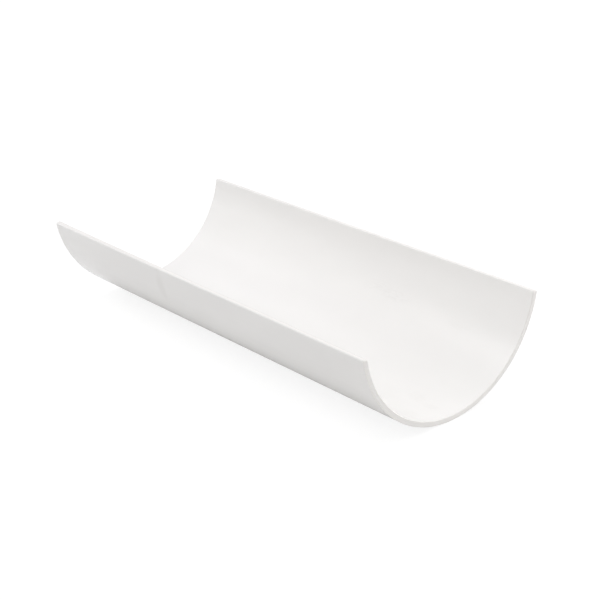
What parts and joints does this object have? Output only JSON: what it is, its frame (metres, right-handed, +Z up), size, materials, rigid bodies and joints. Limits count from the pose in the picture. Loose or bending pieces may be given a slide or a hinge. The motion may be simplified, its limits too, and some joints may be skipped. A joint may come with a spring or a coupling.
{
  "type": "half-round gutter section",
  "caption": "Open half-round trough of thin white plastic with plain rims and square-cut ends, a short length of eaves gutter that carries rainwater.",
  "frame": {"origin": "under the middle of the length, on the lowest line of the trough, which touches the floor", "axes": "+X along the gutter, +Y across it, +Z up towards the open side"},
  "size_m": [0.24, 0.1118, 0.0483],
  "materials": {
    "white_pvc": "satin"
  },
  "bodies": {
    "root": {"gutter_trough": "white_pvc"}
  },
  "joints": []
}
